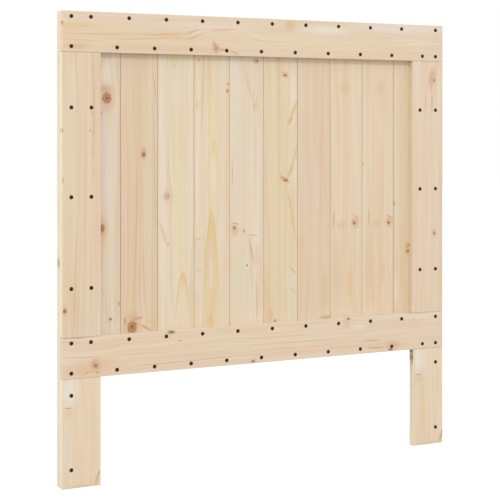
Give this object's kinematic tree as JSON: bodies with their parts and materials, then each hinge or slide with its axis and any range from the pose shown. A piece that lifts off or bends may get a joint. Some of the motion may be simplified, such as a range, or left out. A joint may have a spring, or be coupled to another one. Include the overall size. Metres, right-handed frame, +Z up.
{
  "type": "headboard",
  "caption": "Upright pine headboard: planks side by side behind a screwed frame of rails and stiles, standing on two flat legs at the head of a single bed.",
  "frame": {"origin": "on the floor, in the middle of the headboard's width and depth", "axes": "+Z up, the front faces -Y, +X to the right of someone who faces the front"},
  "size_m": [0.96, 0.033, 1],
  "materials": {
    "pine_board": "planed and sanded, bare",
    "pine_plank": "planed and sanded, bare",
    "pine_post": "planed and sanded, bare",
    "browned_screw": "dark brown, satin"
  },
  "bodies": {
    "root": {"top_rail": "pine_board", "bottom_rail": "pine_board", "left_stile": "pine_board", "right_stile": "pine_board", "left_leg": "pine_board", "right_leg": "pine_board", "plank_1": "pine_plank", "plank_2": "pine_plank", "plank_3": "pine_plank", "plank_4": "pine_plank", "plank_5": "pine_plank", "plank_6": "pine_plank", "plank_7": "pine_plank", "plank_8": "pine_plank", "plank_9": "pine_plank", "plank_10": "pine_plank", "left_post": "pine_post", "right_post": "pine_post", "top_rail_screws": "browned_screw", "bottom_rail_screws": "browned_screw", "left_stile_screws": "browned_screw", "right_stile_screws": "browned_screw", "left_leg_screws": "browned_screw", "right_leg_screws": "browned_screw"}
  },
  "joints": []
}
